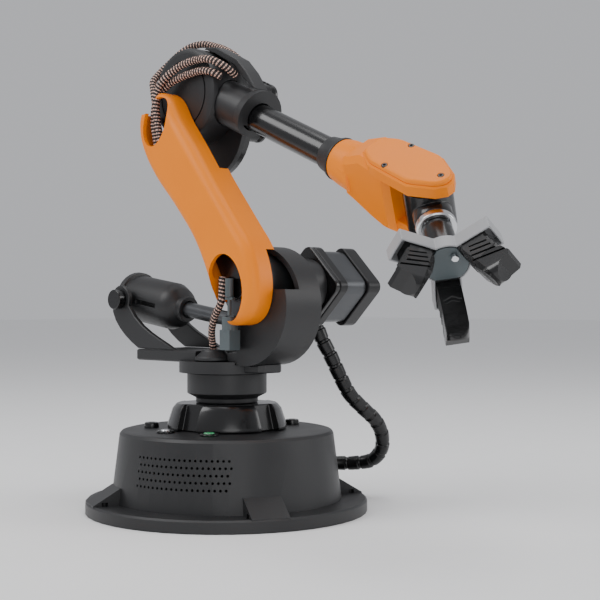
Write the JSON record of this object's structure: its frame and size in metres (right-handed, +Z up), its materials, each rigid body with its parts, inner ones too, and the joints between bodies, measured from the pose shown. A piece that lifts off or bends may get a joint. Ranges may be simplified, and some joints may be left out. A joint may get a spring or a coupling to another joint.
{
  "type": "desktop robot arm",
  "caption": "Desktop six-axis robot arm on a round base, with an orange arm cover, a balance cylinder, braided cables and a three-finger soft gripper.",
  "frame": {"origin": "centre of the base's underside, on the turntable axis", "axes": "+Z up along the turntable axis, +X forward in the plane the arm leans and reaches in, +Y to the side of the shoulder motor"},
  "size_m": [0.2997, 0.1749, 0.2724],
  "materials": {
    "grey_shell": "fine matte texture",
    "black_gloss": "semi-gloss black",
    "orange_shell": "satin moulded",
    "steel": "satin",
    "motor_black": "anodised",
    "motor_core": "satin laminations",
    "rubber": "soft silicone",
    "conduit_black": "segmented",
    "braid": "braided with pale tracers",
    "board_green": "solder mask",
    "lens_green": "translucent cap",
    "silver_cap": "satin",
    "slate_plastic": "fine matte",
    "light_grey": "fine matte"
  },
  "bodies": {
    "base": {"base_shell": "grey_shell", "base_plate": "steel", "foot_ring": "rubber", "control_board": "board_green", "base_motor": "motor_black", "pedestal": "black_gloss", "base_bearing": "steel", "power_button_bezel": "black_gloss", "mode_button_bezel": "black_gloss", "cable_gland": "black_gloss", "port_panel": "black_gloss", "base_conduit": "conduit_black"},
    "power_button_body": {"power_button": "lens_green"},
    "mode_button_body": {"mode_button": "silver_cap"},
    "turret": {"column": "grey_shell", "turret_frame": "grey_shell", "shoulder_housing": "grey_shell", "shoulder_reducer": "steel", "motor_mount": "black_gloss", "shoulder_motor_front": "motor_black", "shoulder_motor_core": "motor_core", "shoulder_motor_rear": "motor_black", "balance_ear_near": "grey_shell", "balance_ear_far": "grey_shell", "trunnion_bolt_near": "black_gloss", "trunnion_bolt_far": "black_gloss", "cable_boss": "grey_shell", "shoulder_sleeve": "braid"},
    "balance_cylinder": {"balance_barrel": "grey_shell"},
    "balance_rod_body": {"balance_rod": "steel"},
    "upper_arm": {"upper_arm_cover": "orange_shell", "upper_arm_link": "black_gloss", "shoulder_hub": "black_gloss", "elbow_shaft": "steel", "air_fitting": "slate_plastic", "valve_block": "slate_plastic", "elbow_sleeve_1": "braid", "elbow_sleeve_2": "braid", "elbow_sleeve_3": "braid"},
    "forearm": {"elbow_housing": "grey_shell", "elbow_back": "black_gloss", "elbow_motor": "motor_black", "elbow_motor_cap": "black_gloss", "forearm_housing": "grey_shell", "forearm_motor": "motor_black", "cable_arch": "grey_shell"},
    "wrist_roll": {"forearm_tube": "black_gloss", "wrist_collar": "grey_shell", "wrist_housing": "orange_shell", "wrist_cover": "orange_shell", "wrist_cap_screw": "black_gloss"},
    "wrist_pitch": {"pitch_block": "black_gloss"},
    "tool": {"tool_flange": "steel", "gripper_adapter": "black_gloss", "gripper_shell": "light_grey", "gripper_plate": "slate_plastic", "air_nozzle": "silver_cap"},
    "finger_a": {"finger_1": "rubber"},
    "finger_b": {"finger_2": "rubber"},
    "finger_c": {"finger_3": "rubber"}
  },
  "joints": [
    {"name": "turntable", "type": "hinge", "parent": "base", "child": "turret", "pos_m": [0, 0, 0], "axis": [0, 0, 1], "range_deg": [-90, 180], "deforming": ["base_conduit"]},
    {"name": "shoulder", "type": "hinge", "parent": "turret", "child": "upper_arm", "pos_m": [0.0297, 0, 0.127], "axis": [0, 1, 0], "range_deg": [-7.4, 36], "deforming": ["shoulder_sleeve"]},
    {"name": "elbow", "type": "hinge", "parent": "upper_arm", "child": "forearm", "pos_m": [-0.02348, 0, 0.221], "axis": [0, 1, 0], "range_deg": [-150, 6], "deforming": ["elbow_sleeve_1", "elbow_sleeve_2", "elbow_sleeve_3"]},
    {"name": "wrist_roll", "type": "hinge", "parent": "forearm", "child": "wrist_roll", "pos_m": [0.14717, 0, 0.16657], "axis": [0.9128, 0, -0.4083], "range_deg": [-216.8, 143.2]},
    {"name": "wrist_pitch", "type": "hinge", "parent": "wrist_roll", "child": "wrist_pitch", "pos_m": [0.14717, 0, 0.16657], "axis": [0.327, -0.599, 0.7309], "range_deg": [-78, 138]},
    {"name": "tool_roll", "type": "hinge", "parent": "wrist_pitch", "child": "tool", "pos_m": [0.15906, -0.00941, 0.15354], "axis": [0.5947, -0.4707, -0.6518], "range_deg": [-360, 360]},
    {"name": "balance_swing", "type": "hinge", "parent": "turret", "child": "balance_cylinder", "pos_m": [-0.074, 0, 0.1196], "axis": [0, 1, 0], "range_deg": [-13.81, 3.08]},
    {"name": "balance_stroke", "type": "slide", "parent": "balance_cylinder", "child": "balance_rod_body", "axis": [0.9894, 0, -0.1453], "range_m": [-0.0073, 0.00174]},
    {"name": "power_press", "type": "slide", "parent": "base", "child": "power_button_body", "axis": [0, 0, -1], "range_m": [0, 0.0011], "stiffness_N_per_m": 400},
    {"name": "mode_press", "type": "slide", "parent": "base", "child": "mode_button_body", "axis": [0, 0, -1], "range_m": [0, 0.0011], "stiffness_N_per_m": 400},
    {"name": "finger_curl_1", "type": "hinge", "parent": "tool", "child": "finger_a", "pos_m": [0.16741, -0.01189, 0.12459], "axis": [-0.7065, -0.6928, -0.1444], "range_deg": [-6, 24], "stiffness_Nm_per_rad": 0.05},
    {"name": "finger_curl_2", "type": "hinge", "parent": "tool", "child": "finger_b", "pos_m": [0.18759, -0.01562, 0.1457], "axis": [0.0211, 0.8196, -0.5726], "range_deg": [-6, 24], "stiffness_Nm_per_rad": 0.05},
    {"name": "finger_curl_3", "type": "hinge", "parent": "tool", "child": "finger_c", "pos_m": [0.16679, -0.03602, 0.14145], "axis": [0.6854, -0.1267, 0.717], "range_deg": [-6, 24], "stiffness_Nm_per_rad": 0.05}
  ],
  "couplings": [
    {"joint": "balance_swing", "follows": "shoulder", "ratio": -0.3753},
    {"joint": "balance_stroke", "follows": "shoulder", "m_per_rad": -0.011146},
    {"joint": "finger_curl_2", "follows": "finger_curl_1", "ratio": 1},
    {"joint": "finger_curl_3", "follows": "finger_curl_1", "ratio": 1}
  ]
}
